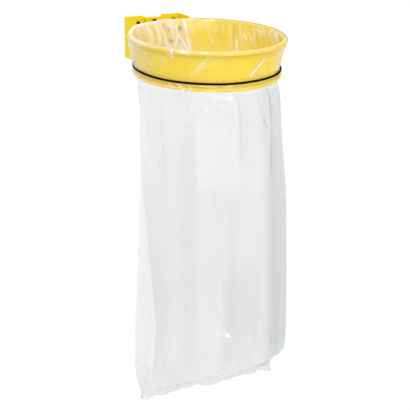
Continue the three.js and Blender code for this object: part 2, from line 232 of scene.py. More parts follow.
def elastic_rubber():
    """A textile-covered elastic: the cover's braid shows as fine slanted ribs."""
    n = Nodes("black_elastic")
    ribs = n.add("Attribute", attribute_name="braid").outputs["Fac"]
    fuzz = n.noise(1800.0, 2.0)
    colour = n.mix_colour(
        n.ramp(ribs, 0.2, 0.9), (0.001, 0.001, 0.001, 1), (0.004, 0.003, 0.002, 1)
    )
    roughness = n.ramp(fuzz, 0.3, 0.7, 0.55, 0.8)
    cover = n.bump(n.math("ADD", ribs, n.math("MULTIPLY", fuzz, 0.4)), 0.5, 0.0004)
    return n.finish(n.surface(colour, roughness, specular=0.04, normal=cover))


FILM_HAZE = 0.034  # white share of one surface of smooth film
# white share where folds are marked: milky stacked film, and painted glints where creases catch the
# light
FOLD_MILK_AND_GLINT = 0.9
FILM_MOST_WHITE = 0.95
FILM_GLOSS = 0.02  # mirrored share of one surface, seen straight on
FILM_EDGE_GLOSS = 0.25  # the same, seen edge on
FILM_LONGER_WAY = 0.10  # darkening where the view runs along the film
FILM_TRANSLUCENT = 0.45  # share of the milky part that lets light through
# painted reflection: the share of the band's yellow that the film's milky part shows where it runs
# edge on over the band
PAINTED_BAND_REFLECTION = 0.9  # share of the band's colour that the film picks up, seen edge on


def clear_film():
    """Thin polyethylene: nearly clear, a little milky, whiter where it is pleated or creased, with
    painted glints, painted shade and a painted reflection of the band.

    The mesh gives four things: how white the film is, from milky stacked film and painted glints;
    how dark its tint is, from film lying together and painted shade in creases, on the bead and on
    the sack's facets; where it lies over the band, which sets a painted reflection of the band's
    yellow and a painted darker outline, both seen edge on; and cut, the place on the flat film,
    wrapped into a tube so that it has no seam.
    """
    n = Nodes("film")
    milk_and_glint = n.add("Attribute", attribute_name="milk_and_glint").outputs["Fac"]
    layers_and_shade = n.add("Attribute", attribute_name="layers_and_shade").outputs["Fac"]
    band_reflection = n.add("Attribute", attribute_name="band_reflection").outputs["Fac"]
    cut = n.add("Attribute", attribute_name="cut").outputs["Vector"]
    cloud = n.ramp(n.noise(14.0, 4.0, 0.6, cut, (1, 1, 0.3)), 0.35, 0.7, 0.7, 1.4)
    # painted glints: thin white streaks along the film, finer than the mesh
    glint_streaks = n.ramp(n.noise(95.0, 3.0, 0.6, cut, (1, 1, 0.09)), 0.64, 0.76, 0.0, 0.5)
    white_share = n.math("MULTIPLY", cloud, FILM_HAZE)
    folded = n.math("ADD", glint_streaks, FOLD_MILK_AND_GLINT)
    white_share = n.math("ADD", white_share, n.math("MULTIPLY", milk_and_glint, folded))
    white_share = n.math("ADD", white_share, n.math("MULTIPLY", glint_streaks, 0.05))
    white_share = n.math("MINIMUM", white_share, FILM_MOST_WHITE)
    crinkle = n.noise(70.0, 4.0, 0.6, cut, (1, 1, 0.25))
    ripple = n.noise(18.0, 3.0, 0.5, cut, (1, 1, 0.3))
    normal = n.bump(crinkle, 0.35, 0.0010)
    normal = n.bump(ripple, 0.30, 0.005, normal)
    drift = n.ramp(n.noise(5.0, 2.0, 0.5, cut, (1, 1, 0.4)), 0.4, 0.6)
    dense = n.mix_colour(drift, (0.738, 0.746, 0.744, 1), (0.706, 0.748, 0.736, 1))
    grazing = n.add("LayerWeight", {"Blend": 0.5}).outputs["Facing"]
    longer = n.math("MULTIPLY", n.math("POWER", grazing, 6.0), FILM_LONGER_WAY)
    # painted shade: a darker outline where the film runs edge on over the band
    outline_shade = n.math("MULTIPLY", n.math("POWER", grazing, 26.0), band_reflection)
    layers_and_shade = n.math("ADD", layers_and_shade, n.math("ADD", longer, outline_shade))
    # the tint darkens with film lying together and with painted shade
    tint = n.mix_colour(layers_and_shade, (0.990, 0.990, 0.990, 1), dense)
    # painted reflection of the band's yellow in the film, strongest edge on
    band_reflection_share = n.math("MULTIPLY", band_reflection, n.math("POWER", grazing, 5.0))
    white_share = n.math("MAXIMUM", white_share, n.math("MULTIPLY", band_reflection_share, PAINTED_BAND_REFLECTION))
    milk_and_band_reflection_colour = n.mix_colour(band_reflection_share, (0.93, 0.93, 0.94, 1), (0.88, 0.60, 0.03, 1))
    clear = n.add("BsdfTransparent", {"Color": tint})
    whiteness = n.surface(milk_and_band_reflection_colour, 0.4, specular=0.3, normal=normal)
    glow = n.add("BsdfTranslucent", {"Color": milk_and_band_reflection_colour, "Normal": normal})
    body = n.add("MixShader", {0: FILM_TRANSLUCENT, 1: whiteness, 2: glow.outputs[0]})
    film = n.add("MixShader", {0: white_share, 1: clear.outputs[0], 2: body.outputs[0]})
    gloss = n.add("BsdfGlossy", {"Color": (1, 1, 1, 1), "Roughness": 0.12, "Normal": normal})
    facing = n.add("LayerWeight", {"Blend": 0.5, "Normal": normal}).outputs["Facing"]
    shine = n.ramp(n.math("POWER", facing, 4.0), 0.0, 1.0, FILM_GLOSS, FILM_EDGE_GLOSS)
    shader = n.add("MixShader", {0: shine, 1: film.outputs[0], 2: gloss.outputs[0]})
    return n.finish(shader.outputs[0])


def floor_paint():
    n = Nodes("floor_paint")
    colour = n.mix_colour(
        n.ramp(n.noise(0.6, 3.0), 0.3, 0.7), (0.93, 0.93, 0.93, 1), (0.95, 0.95, 0.95, 1)
    )
    return n.finish(n.surface(colour, 0.9))


# ---------------------------------------------------------------- mesh helpers


def mesh_object(name, vertices, faces, material, smooth_below=None):
    """A mesh piece. Faces are smooth where neighbours meet at less than smooth_below degrees."""
    data = bpy.data.meshes.new(name)
    data.from_pydata([tuple(v) for v in vertices], [], faces)
    data.validate()
    if smooth_below:
        data.polygons.foreach_set("use_smooth", [True] * len(data.polygons))
        data.set_sharp_from_angle(angle=math.radians(smooth_below))
    data.materials.append(material)
    piece = bpy.data.objects.new(name, data)
    bpy.context.collection.objects.link(piece)
    return piece


def tube_faces(rings, around, close_rings=False):
    """Quads between rings of vertices, each ring closed on itself."""
    faces = []
    last = rings if close_rings else rings - 1
    for i in range(last):
        a, b = i * around, ((i + 1) % rings) * around
        for k in range(around):
            m = (k + 1) % around
            faces.append((a + k, a + m, b + m, b + k))
    return faces


def arc_points(centre, radius, start, end, steps):
    angles = np.radians(np.linspace(start, end, steps + 1))
    return [(centre[0] + radius * math.cos(a), centre[1] + radius * math.sin(a)) for a in angles]


def as_matrix_points(matrix, points):
    return [matrix @ Vector(p) for p in points]


# ---------------------------------------------------------------- ring band


def band_outline():
    """The ring's sheet in section, as its middle line: top roll, wall, bottom roll."""
    half = RING_SHEET / 2
    top_centre = (RING_RADIUS - TOP_BEAD, -TOP_BEAD)
    low_centre = (BAND_BOTTOM_RADIUS + 2, LOW_BEAD - RING_HEIGHT)
    top = arc_points(top_centre, TOP_BEAD - half, -115, 180, 30)
    low = arc_points(low_centre, LOW_BEAD - half, 180, 475, 30)
    wall = [
        (BAND_TOP_RADIUS - half, BAND_TOP),
        (
            (BAND_TOP_RADIUS + BAND_BOTTOM_RADIUS) / 2 - half,
            (BAND_TOP + BAND_BOTTOM) / 2,
        ),
        (BAND_BOTTOM_RADIUS - half, BAND_BOTTOM),
    ]
    return np.array(top + wall + low)


def thicken(line, thickness):
    """A closed outline round a middle line."""
    step = np.gradient(line, axis=0)
    normal = np.stack([-step[:, 1], step[:, 0]], 1)
    normal /= np.linalg.norm(normal, axis=1)[:, None]
    half = thickness / 2
    return np.concatenate([line + normal * half, (line - normal * half)[::-1]])


def lathe(outline_shade, around):
    """A closed [radius, height] outline turned about the ring's axis, as points in mm and faces."""
    angle = np.linspace(0, TAU, around, endpoint=False)
    points = np.concatenate(
        [
            np.stack([r * np.sin(angle), -r * np.cos(angle), np.full(around, z)], 1)
            for r, z in outline_shade
        ]
    )
    return points, tube_faces(len(outline_shade), around, close_rings=True)


def make_band(material):
    points, faces = lathe(thicken(band_outline(), RING_SHEET), 288)
    faces = [f[::-1] for f in faces]
    return mesh_object("ring_rolled_band", ring_to_world(points), faces, material, 50)


# ---------------------------------------------------------------- elastic


BRAID_TURNS = 180


def make_elastic(material):
    """The elastic lies in a closed loop; its cover's braid is an attribute on the points."""
    around, across = 720, 14
    angle = np.linspace(0, TAU, around, endpoint=False)
    turn = np.linspace(0, TAU, across, endpoint=False)
    rise = 0.35 * np.sin(3 * angle + 0.6) + 0.2 * np.sin(7 * angle)
    a, t = np.meshgrid(angle, turn, indexing="ij")
    radius = CORD_RING + CORD_RADIUS * np.cos(t)
    z = CORD_HEIGHT + rise[:, None] + CORD_RADIUS * np.sin(t)
    points = np.stack([radius * np.sin(a), -radius * np.cos(a), z], 2).reshape(-1, 3)
    piece = mesh_object(
        "elastic_loop",
        ring_to_world(points),
        tube_faces(around, across, close_rings=True),
        material,
        80,
    )
    ribs = 0.5 + 0.5 * np.sin(BRAID_TURNS * a + 2 * t) * np.sin(BRAID_TURNS * a - 2 * t)
    layer = piece.data.attributes.new("braid", "FLOAT", "POINT")
    layer.data.foreach_set("value", ribs.reshape(-1))
    return piece


# ---------------------------------------------------------------- fasteners


SCREW_SHANK = 3.0
SCREW_SIDES = 36
SCREW_HEAD = 3.3  # height of a button head
SCREW_GAP = 0.3  # clearance between stacked parts
TIP_LENGTH, TIP_SHARE = 0.5, 0.8  # the chamfer at a shank's end
CAP_EDGE = 0.6
DOME_FOOT = 0.25  # share of a button head's height that is straight
DOME_DRAW = 0.42  # share of its radius that the dome draws in
DOME_CURVE = 1.7
DOME_STEPS = 6
SOCKET_FLARE, SOCKET_EDGE = 1.12, 0.2
SOCKET_CONE = 0.4  # how much deeper the socket is in the middle
SOCKET_MIDDLE = 0.05
NUT_SIDES = 48
NUT_CHAMFER = 0.45
HOLE_CHAMFER = 0.5
CORNER_LEFT = 0.25  # share of a nut's corners that is left at its faces
WASHER_EDGE = 0.2


def hexagon_radius(angle, flat):
    """Distance from the middle to a hexagon's edge; flat is the distance to its flats."""
    sector = math.radians(60)
    return flat / np.cos((angle + sector / 2) % sector - sector / 2)


def circle(radius, angle, z):
    """Points round the Z axis at one height; the radius may change with the angle."""
    return np.stack([radius * np.cos(angle), radius * np.sin(angle), np.full(len(angle), z)], 1)


def head_profile(head, height, cap):
    """The outside of a screw's head in (radius, height): a tall cap, or a button's dome."""
    if cap:
        return [(head, 0.0), (head, height - CAP_EDGE), (head - CAP_EDGE, height)]
    profile = [(head, 0.0), (head, DOME_FOOT * height)]
    for k in range(1, DOME_STEPS + 1):
        t = k / DOME_STEPS
        rise = DOME_FOOT + (1 - DOME_FOOT) * math.sin(t * math.pi / 2)
        profile.append((head - DOME_DRAW * head * t**DOME_CURVE, height * rise))
    return profile


def screw_mesh(head, height, shank_length, socket, depth, cap=False):
    """A socket screw along +Z, head up, with its bearing face at z = 0."""
    angle = np.linspace(0, TAU, SCREW_SIDES, endpoint=False)
    shank = [
        (SCREW_SHANK * TIP_SHARE, -shank_length),
        (SCREW_SHANK, -shank_length + TIP_LENGTH),
        (SCREW_SHANK, 0.0),
    ]
    hexagon = hexagon_radius(angle, socket)
    hole = [
        (hexagon * SOCKET_FLARE, height),
        (hexagon, height - SOCKET_EDGE),
        (hexagon, height - depth),
        (hexagon * SOCKET_MIDDLE, height - depth - SOCKET_CONE),
    ]
    rings = [circle(r, angle, z) for r, z in shank + head_profile(head, height, cap) + hole]
    faces = tube_faces(len(rings), SCREW_SIDES)
    faces.append(tuple(range(SCREW_SIDES))[::-1])
    last = (len(rings) - 1) * SCREW_SIDES
    faces.append(tuple(range(last, last + SCREW_SIDES)))
    return np.concatenate(rings) * MM, faces


def nut_mesh(flat, height, hole):
    """A hex nut along +Z with its corners rounded off and a countersunk hole."""
    angle = np.linspace(0, TAU, NUT_SIDES, endpoint=False)
    hexagon = hexagon_radius(angle, flat)
    corner = flat / math.cos(math.radians(30))
    shaved = np.minimum(hexagon, flat + CORNER_LEFT * (corner - flat))
    section = [
        (shaved, 0.0),
        (hexagon, NUT_CHAMFER),
        (hexagon, height - NUT_CHAMFER),
        (shaved, height),
        (hole + HOLE_CHAMFER, height),
        (hole, height - HOLE_CHAMFER),
        (hole, HOLE_CHAMFER),
        (hole + HOLE_CHAMFER, 0.0),
    ]
    points = np.concatenate([circle(r, angle, z) for r, z in section])
    return points * MM, tube_faces(len(section), NUT_SIDES, close_rings=True)


def washer_mesh(outer, hole, height):
    angle = np.linspace(0, TAU, NUT_SIDES, endpoint=False)
    section = [
        (outer - WASHER_EDGE, 0.0),
        (outer, WASHER_EDGE),
        (outer, height - WASHER_EDGE),
        (outer - WASHER_EDGE, height),
        (hole, height),
        (hole, 0.0),
    ]
    points = np.concatenate([circle(r, angle, z) for r, z in section])
    return points * MM, tube_faces(len(section), NUT_SIDES, close_rings=True)


def place_piece(name, mesh, matrix, material, node, body):
    points, faces = mesh
    piece = mesh_object(name, as_matrix_points(matrix, points), faces, material, 35)
    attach(piece, body)
    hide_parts(node)
    return piece


def wall_facing(node, head_height):
    """Where a screw that points at the wall bears, from its CAD node."""
    low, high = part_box(node)
    return Matrix.Translation(
        ((low.x + high.x) / 2, low.y + head_height * MM, (low.z + high.z) / 2)
    ) @ Matrix.Rotation(math.pi / 2, 4, "X")


BUTTON_SOCKET, BUTTON_DEPTH = 2.0, 1.9
WALL_SCREW_HEAD = 6.5
BRIDGE_SCREW_HEAD = 5.5


def make_bracket_screws(material):
    kinds = (("wall_screw", WALL_SCREW_HEAD), ("bridge_screw", BRIDGE_SCREW_HEAD))
    for level in ("upper", "lower"):
        for side in ("left", "right"):
            for kind, head in kinds:
                node = f"{kind}_{level}_{side}"
                low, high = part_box(node)
                length = (high.y - low.y) / MM - SCREW_HEAD
                mesh = screw_mesh(head, SCREW_HEAD, length, BUTTON_SOCKET, BUTTON_DEPTH)
                matrix = wall_facing(node, SCREW_HEAD)
                name = f"{node}_button"
                place_piece(name, mesh, matrix, material, node, "bracket")


LOCK_HEAD, LOCK_HEAD_HEIGHT = 5.0, 6.0
LOCK_SOCKET, LOCK_DEPTH = 2.5, 3.0


def make_lock_screw(material):
    node = "lock_screw"
    low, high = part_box(node)
    length = (high.y - low.y) / MM - LOCK_HEAD_HEIGHT
    mesh = screw_mesh(LOCK_HEAD, LOCK_HEAD_HEIGHT, length, LOCK_SOCKET, LOCK_DEPTH, cap=True)
    matrix = wall_facing(node, LOCK_HEAD_HEIGHT)
    place_piece("lock_screw_cap", mesh, matrix, material, node, "lock_screw")


RING_BOLT_X = 15
RING_BOLT_HEIGHTS = {"upper": -24, "lower": -56}
RING_BOLT_HEAD = 6.0
BOLT_END = 1.5  # how far a bolt stands out of its nut
BOLT_HOLE = 3.2
SADDLE_SHEET = 3.0
WASHER, WASHER_RADIUS = 1.0, 6.0
NUT, NUT_FLAT = 4.0, 5.0


def bolt_matrix(sign, height):
    """The ring bolt's axis, out of the band, with z = 0 on the band's outside."""
    slope = (BAND_TOP_RADIUS - BAND_BOTTOM_RADIUS) / (BAND_TOP - BAND_BOTTOM)
    radius = BAND_TOP_RADIUS + slope * (height - BAND_TOP)
    turn = -math.asin(sign * RING_BOLT_X / BAND_TOP_RADIUS)
    return (
        ring_matrix
        @ Matrix.Rotation(turn, 4, "Z")
        @ Matrix.Translation((0, radius * MM, height * MM))
        @ Matrix.Rotation(-math.pi / 2 - math.atan(slope), 4, "X")
    )


def make_ring_bolts(material):
    """Bolts from inside the band, and their washers and nuts behind the arm's saddle."""
    washer_start = SCREW_GAP + SADDLE_SHEET + SCREW_GAP
    nut_start = washer_start + WASHER + SCREW_GAP
    bolt_end = nut_start + NUT + BOLT_END
    under_head = -RING_SHEET - SCREW_GAP
    length = bolt_end - under_head
    bolt = screw_mesh(RING_BOLT_HEAD, SCREW_HEAD, length, BUTTON_SOCKET, BUTTON_DEPTH)
    washer = washer_mesh(WASHER_RADIUS, BOLT_HOLE, WASHER)
    nut = nut_mesh(NUT_FLAT, NUT, BOLT_HOLE)
    ahead, over = Matrix.Identity(4), Matrix.Rotation(math.pi, 4, "X")
    stack = (
        ("ring_bolt", "dome", bolt, under_head, over),
        ("ring_washer", "flat", washer, washer_start, ahead),
        ("ring_nut", "hex", nut, nut_start, ahead),
    )
    for level, height in RING_BOLT_HEIGHTS.items():
        for side, sign in (("left", -1), ("right", 1)):
            axis = bolt_matrix(sign, height)
            for kind, shape, mesh, start, turn in stack:
                node = f"{kind}_{level}_{side}"
                matrix = axis @ Matrix.Translation((0, 0, start * MM)) @ turn
                name = f"{node}_{shape}"
                place_piece(name, mesh, matrix, material, node, "ring")


# ---------------------------------------------------------------- film sack

COLUMNS = 400
FILM = 0.25  # drawn thickness, mm
DENSE = 2.0  # the sum of shades at which the film is as dark as it gets
rng = np.random.default_rng(7)


def smooth(x, low, high):
    t = np.clip((x - low) / (high - low), 0, 1)
    return t * t * (3 - 2 * t)


def angle_from(theta, centre):
    """Signed degrees from centre, wrapped to -180..180."""
    return (np.degrees(theta) - centre + 180) % 360 - 180


def between(theta, start, end, soft):
    """1 between two angles, in degrees, fading over soft."""
    middle, half = (start + end) / 2, (end - start) / 2
    return 1 - smooth(np.abs(angle_from(theta, middle)), half - soft / 2, half + soft / 2)


def bump_at(x, centre, width):
    return np.exp(-(((x - centre) / width) ** 2))


class Waves:
    """A repeatable sum of waves round the ring, each with its own slow change down the film."""

    def __init__(self, counts, sizes, drift):
        self.counts = np.array(counts)
        self.sizes = np.array(sizes, float)
        self.phase = rng.uniform(0, TAU, len(counts))
        self.drift = rng.uniform(-drift, drift, len(counts))

    def __call__(self, theta, down):
        total = 0
        for count, size, phase, drift in zip(self.counts, self.sizes, self.phase, self.drift):
            total = total + size * np.sin(count * theta + phase + drift * down)
        return total


hem_waves = Waves([9, 17, 31, 53], [2.2, 1.6, 1.2, 0.8], 0)
cuff_waves = Waves([11, 23, 37, 61], [0.35, 0.3, 0.25, 0.15], 0.05)
throat_waves = Waves([7, 13, 22, 35, 58], [1.3, 1.1, 0.9, 0.5, 0.3], 0.03)
rim_waves = Waves([14, 29, 47, 83], [0.5, 0.6, 0.6, 0.5], 0)
body_waves = Waves([3, 5, 8, 13, 21], [1.0, 1.2, 1.0, 0.8, 0.5], 0.006)
foot_waves = Waves([5, 9, 16, 27], [1.0, 1.0, 0.9, 0.6], 0.03)
body_bands = Waves([6, 10, 15, 22], [0.7, 0.6, 0.4, 0.25], 0.004)
flap_waves = Waves([6, 11, 19, 33], [1.2, 0.9, 0.6, 0.4], 0)

# Folds run between two places in (degrees round the ring, mm of height). Then come how far the
# film lifts, the fold's half width in mm, and how white it is, which is milky stacked film and
# painted glints, or below 0 how dark, which is painted shade in the crease. Heights are
# in the ring's frame for the throat and the cuff, and in the row frame for the hanging body.
THROAT_FOLDS = [
    ((172, 4), (170, -43), 3.0, 3.2, 1.0),
    ((170, -43), (166, -86), 3.0, 3.2, 1.0),
    ((192, -28), (189, -74), 2.5, 3.0, 0.95),
    ((178, -36), (182, -80), 2.0, 2.8, 0.80),
    ((178, -36), (168, -84), 2.0, 2.8, 0.85),
    ((204, -40), (202, -74), 2.0, 3.0, 0.50),
    ((210, 0), (207, -66), 2.5, 6.0, 0.42),
    ((199, 0), (197, -62), 2.5, 5.0, 0.40),
    ((186, 6), (183, -44), 2.5, 8.0, 0.42),
    ((180, -10), (178, -36), 1.5, 4.0, 0.35),
    ((228, -6), (222, -50), 1.5, 8.0, 0.30),
    ((153, -12), (148, -70), 1.5, 2.6, 0.20),
    ((134, -10), (129, -78), 1.5, 2.6, 0.26),
    ((127, -40), (125, -80), 1.2, 2.8, 0.75),
    ((125, -6), (120, -66), 1.6, 2.6, 0.26),
    ((120, -28), (116, -48), 1.0, 2.8, 0.70),
    ((115, -25), (110, -50), 1.2, 2.6, 0.40),
    ((112, -6), (105, -70), 1.4, 2.8, 0.30),
    ((108, -8), (100, -24), 1.4, 2.8, 0.35),
    ((102, -8), (94, -30), 1.4, 2.6, 0.30),
    ((96, -6), (86, -26), 1.2, 2.6, 0.26),
    # white streaks at the right of the rim: painted glints
    ((92, -2), (76, -18), 1.0, 2.6, 0.50),
    ((84, -4), (70, -22), 1.0, 2.6, 0.55),
    ((80, -14), (70, -34), 1.0, 2.6, 0.45),
    ((88, -16), (78, -36), 1.0, 2.6, 0.35),
    # dark streaks between the folds: painted shade
    ((88, -6), (74, -26), 0.0, 3.0, -0.80),
    ((78, -6), (68, -18), 0.0, 3.0, -0.80),
    ((189, -50), (185, -82), 1.0, 8.0, 0.50),
    ((177, -52), (173, -84), 1.0, 7.0, 0.42),
    # dark gaps between folds: painted shade
    ((192, 2), (190, -28), 0.0, 5.0, -0.60),
    ((130, -8), (127, -50), 0.0, 4.0, -0.50),
    ((106, -30), (102, -64), 0.0, 4.0, -0.40),
    ((142, -30), (138, -70), 0.0, 4.0, -0.30),
    ((204, -6), (202, -36), 0.0, 3.5, -0.25),
]
CUFF_FOLDS = [
    ((-54, 6), (-53, -15), 0.6, 3.0, 0.95),
    ((-49, -2), (-41, -4), 0.4, 3.0, 0.80),
    ((-57, -12), (-52, -20), 0.4, 2.8, 0.50),
    # strong white streaks down the front of the cuff: painted glints
    ((16, -29), (10, -50), 0.9, 4.4, 1.0),
    ((11, -46), (6, -66), 0.9, 4.2, 1.0),
    ((17, -60), (12, -74), 0.6, 2.6, 0.45),
    ((34, -22), (28, -40), 0.5, 2.6, 0.12),
    ((40, -30), (33, -52), 0.5, 2.6, 0.12),
    ((48, -24), (41, -44), 0.5, 2.6, 0.12),
    ((-27, -13), (-36, -44), 0.6, 2.4, 0.45),
    ((-21, -20), (-42, -64), 0.7, 2.2, 0.20),
    ((-28, -30), (-38, -52), 0.5, 2.2, 0.30),
    ((-63, -22), (-60, -38), 0.5, 2.4, 0.40),
    ((-80, -18), (-71, -68), 0.6, 2.6, 0.26),
    ((-88, -16), (-80, -72), 0.8, 2.8, 0.26),
    ((-50, -84), (-44, -100), 0.6, 2.4, 0.55),
    ((-41, -88), (-38, -102), 0.6, 2.4, 0.50),
    ((-58, -90), (-51, -97), 0.6, 2.4, 0.40),
]
BODY_FOLDS = [
    ((-104, -200), (-84, -458), 2.6, 4.0, -0.16),
    ((-84, -458), (-78, -546), 2.6, 4.0, -0.18),
    ((-78, -546), (-72, -664), 2.6, 4.0, -0.20),
    ((-72, -664), (-71, -846), 2.6, 4.0, -0.20),
    ((-92, -130), (-70, -260), 1.2, 4.0, -0.22),
    ((-67, -110), (-62, -330), 1.0, 3.5, 0.10),
    ((-70, -110), (-65, -330), 0.0, 3.5, -0.14),
    ((-40, -120), (-40, -330), -0.8, 3.2, -0.16),
    ((-4, -66), (-3, -250), -1.2, 3.2, -0.36),
    ((-7, -66), (-6, -250), 0.0, 3.4, 0.06),
    ((15, -66), (18, -130), -1.4, 3.2, -0.60),
    ((18, -130), (25, -168), -1.6, 3.2, -0.70),
    ((29, -66), (31, -172), -2.2, 5.0, -0.90),
    ((31, -172), (26, -290), -2.0, 4.0, -0.80),
    ((38, -80), (42, -330), 1.0, 4.0, 0.10),
    ((25, -273), (23, -614), 2.2, 4.4, -0.30),
    ((23, -614), (24, -800), 2.2, 4.4, -0.24),
    ((-17, -330), (-16, -560), 0.8, 3.4, 0.06),
    ((-16, -560), (-17, -820), 0.0, 3.4, -0.14),
    ((-49, -590), (-46, -630), -1.0, 3.2, -0.20),
    ((-47, -590), (-45, -630), 0.0, 3.2, 0.10),
    ((-21, -585), (-19, -620), -1.0, 3.2, 0.12),
    ((-19, -588), (-18, -618), 0.0, 3.2, -0.20),
    ((-22, -420), (-19, -440), -0.8, 3.2, -0.20),
    ((-100, -130), (-86, -225), 1.2, 5.0, 0.14),
    ((-86, -225), (-78, -266), 1.2, 5.0, 0.18),
    ((-79, -252), (-77, -262), 0.4, 3.5, 0.45),
    ((-88, -214), (-86, -224), 0.4, 3.5, 0.40),
    # small bright marks: painted glints
    ((-64, -94), (-61, -108), 0.4, 2.6, 0.50),
    ((-46, -132), (-42, -134), 0.3, 2.6, 0.45),
    ((-42, -134), (-39, -139), 0.3, 2.6, 0.35),
    ((-48, -166), (-43, -168), 0.2, 2.6, 0.30),
    ((-25, -136), (-22, -141), 0.2, 2.8, 0.20),
    ((-30, -96), (-29, -120), 0.6, 3.0, 0.22),
    ((-17, -92), (-16, -112), 0.6, 3.0, 0.20),
    ((-52, -790), (-36, -800), 1.5, 16.0, 0.10),
    ((-76, -770), (-66, -785), 1.5, 14.0, 0.08),
    ((-24, -800), (-6, -812), 1.5, 14.0, 0.10),
    ((4, -790), (18, -805), 1.5, 12.0, 0.08),
    ((-14, -884), (-8, -889), 0.8, 4.0, 0.85),
    ((8, -886), (14, -890), 0.8, 4.0, 0.60),
    ((16, -886), (26, -891), 0.8, 3.6, 0.80),
    ((-36, -888), (-28, -892), 0.8, 3.6, 0.50),
]

# Panels between two creases, each crease being (height, degrees) places from the top down. Then
# come the top and bottom heights, the fade at both, and how much the panel darkens, or below 0
# lightens. The tones are partly extra film folded in and partly painted shade and light on the
# sack's facets: the left facet lighter, the right panel darker.
BODY_PANELS = [
    ([(-60, -125)], [(-200, -104), (-458, -84), (-546, -78), (-664, -72)], -170, -900, 130, -0.42),
    ([(-458, -83), (-664, -71)], [(-458, -60)], -440, -860, 160, 0.14),
    ([(-60, -104)], [(-130, -92), (-260, -70)], -90, -280, 50, -0.14),
    ([(-60, -68)], [(-60, -41)], -120, -520, 120, 0.08),
    ([(-60, -40)], [(-60, -7)], -110, -330, 60, -0.14),
    ([(-60, -38)], [(-60, -17)], -330, -850, 90, -0.10),
    ([(-60, -20)], [(-60, 10)], -470, -790, 90, 0.18),
    ([(-60, -7)], [(-60, 16)], -70, -260, 60, 0.06),
    ([(-60, 30), (-170, 31), (-280, 25), (-620, 23)], [(-60, 100)], -60, -880, 60, 0.34),
    ([(-60, 42)], [(-60, 82)], -862, -900, 20, 0.55),
]


def small_folds(count, turn, height, length, lean, half, whiteness):
    """Random short folds inside the given ranges."""
    folds = []
    for _ in range(count):
        angle, top = rng.uniform(*turn), rng.uniform(*height)
        end = (angle + rng.uniform(*lean), top - rng.uniform(*length))
        rise, width, white = rng.uniform(*LOW_RISE), rng.uniform(*half), rng.uniform(*whiteness)
        folds.append(((angle, top), end, rise, width, white))
    return folds


LOW_RISE = (0.2, 0.8)
# Count, then ranges: degrees, top height, length, lean in degrees, half width and whiteness,
# which is milky film and painted glints, and painted shade below 0.
SMALL_FOLDS = [
    (THROAT_FOLDS, 16, (164, 222), (-34, 4), (14, 50), (-3.5, 1.0), (2.0, 4.0), (0.08, 0.34)),
    (THROAT_FOLDS, 34, (75, 165), (-70, -2), (8, 34), (-4.0, 1.5), (2.0, 2.8), (0.04, 0.20)),
    (CUFF_FOLDS, 16, (-120, -68), (-40, -6), (14, 50), (-2.0, 7.0), (2.0, 3.0), (0.08, 0.28)),
    (CUFF_FOLDS, 10, (-66, 60), (-50, -10), (8, 26), (-9.0, -2.0), (2.0, 2.6), (0.04, 0.13)),
    (BODY_FOLDS, 18, (-105, 40), (-200, -80), (6, 16), (-3.0, 3.0), (2.6, 3.4), (0.05, 0.18)),
    (BODY_FOLDS, 26, (-100, 60), (-880, -760), (8, 30), (-8.0, 8.0), (2.6, 3.6), (0.04, 0.16)),
    # bright sparkles near the foot: painted glints
    (BODY_FOLDS, 9, (-100, -76), (-850, -770), (6, 14), (-6.0, 6.0), (2.8, 3.4), (0.3, 0.7)),
    # dark strokes: painted shade in creases
    (BODY_FOLDS, 12, (-95, 50), (-600, -200), (20, 70), (-2.0, 2.0), (4.0, 6.0), (-0.14, -0.04)),
]
for folds, *ranges in SMALL_FOLDS:
    folds += small_folds(*ranges)


def fold_field(theta, height, folds, radius):
    """Lift, whiteness and shade of a list of folds at each point. Whiteness is milky film and
    painted glints; below 0 it is painted shade in the crease.
    """
    lift = np.zeros_like(theta)
    milk_and_glint = np.zeros_like(theta)
    shade = np.zeros_like(theta)
    for start, end, rise, half, whiteness in folds:
        x = np.radians(angle_from(theta, start[0])) * radius
        y = height - start[1]
        dx = math.radians((end[0] - start[0] + 180) % 360 - 180) * radius
        dy = end[1] - start[1]
        along = (x * dx + y * dy) / (dx * dx + dy * dy)
        t = np.clip(along, 0, 1)
        far = np.hypot(x - t * dx, y - t * dy)
        taper = np.sin(np.clip(t, 0.04, 0.96) * math.pi) ** 0.35
        lift += rise * np.exp(-np.abs(far / (half * 1.4)) ** 1.3) * taper
        core = np.exp(-((far / half) ** 2)) * taper
        milk_and_glint = np.maximum(milk_and_glint, whiteness * core)
        shade = np.maximum(shade, -whiteness * core)
    return lift, milk_and_glint, shade


def crease_angle(crease, height):
    heights, degrees = zip(*crease)
    return np.interp(-height, -np.array(heights, float), degrees)


def panel_tone(theta, height):
    """How much darker the film's panels are at a height: extra film, and painted facet shade."""
    tone = 0
    turn = angle_from(theta, 0)
    for left, right, top, bottom, fade, dark in BODY_PANELS:
        start, end = crease_angle(left, height), crease_angle(right, height)
        inside = smooth(turn, start - 1, start + 1) * (1 - smooth(turn, end - 1, end + 1))
        level = smooth(-height, -top, -top + fade) * (1 - smooth(-height, -bottom - fade, -bottom))
        tone = tone + dark * inside * level
    return tone


HEM = -99
HEM_SHORT = 6  # how much higher it ends at one place in front
HEM_OVER_ARM = -13
HEM_WAVE = 0.6


def hem_height(theta):
    """Ring height of the cuff's lower edge: it rides up over the arm at the back."""
    over_arm = 1 - smooth(np.abs(angle_from(theta, 180)), 11.5, 15.5)
    short = HEM_SHORT * between(theta, -38, -33, 5)
    hem = HEM + short + hem_waves(theta, 0) * HEM_WAVE
    return hem * (1 - over_arm) + HEM_OVER_ARM * over_arm, over_arm


RIM_LIFT = [
    # degrees, mm above the bead
    (160, 0),
    (172, 0),
    (178, 1),
    (185, 2),
    (190, 3),
    (196, 1),
    (203, 1),
    (210, 2),
    (221, 4),
    (232, 4),
    (248, 0),
]


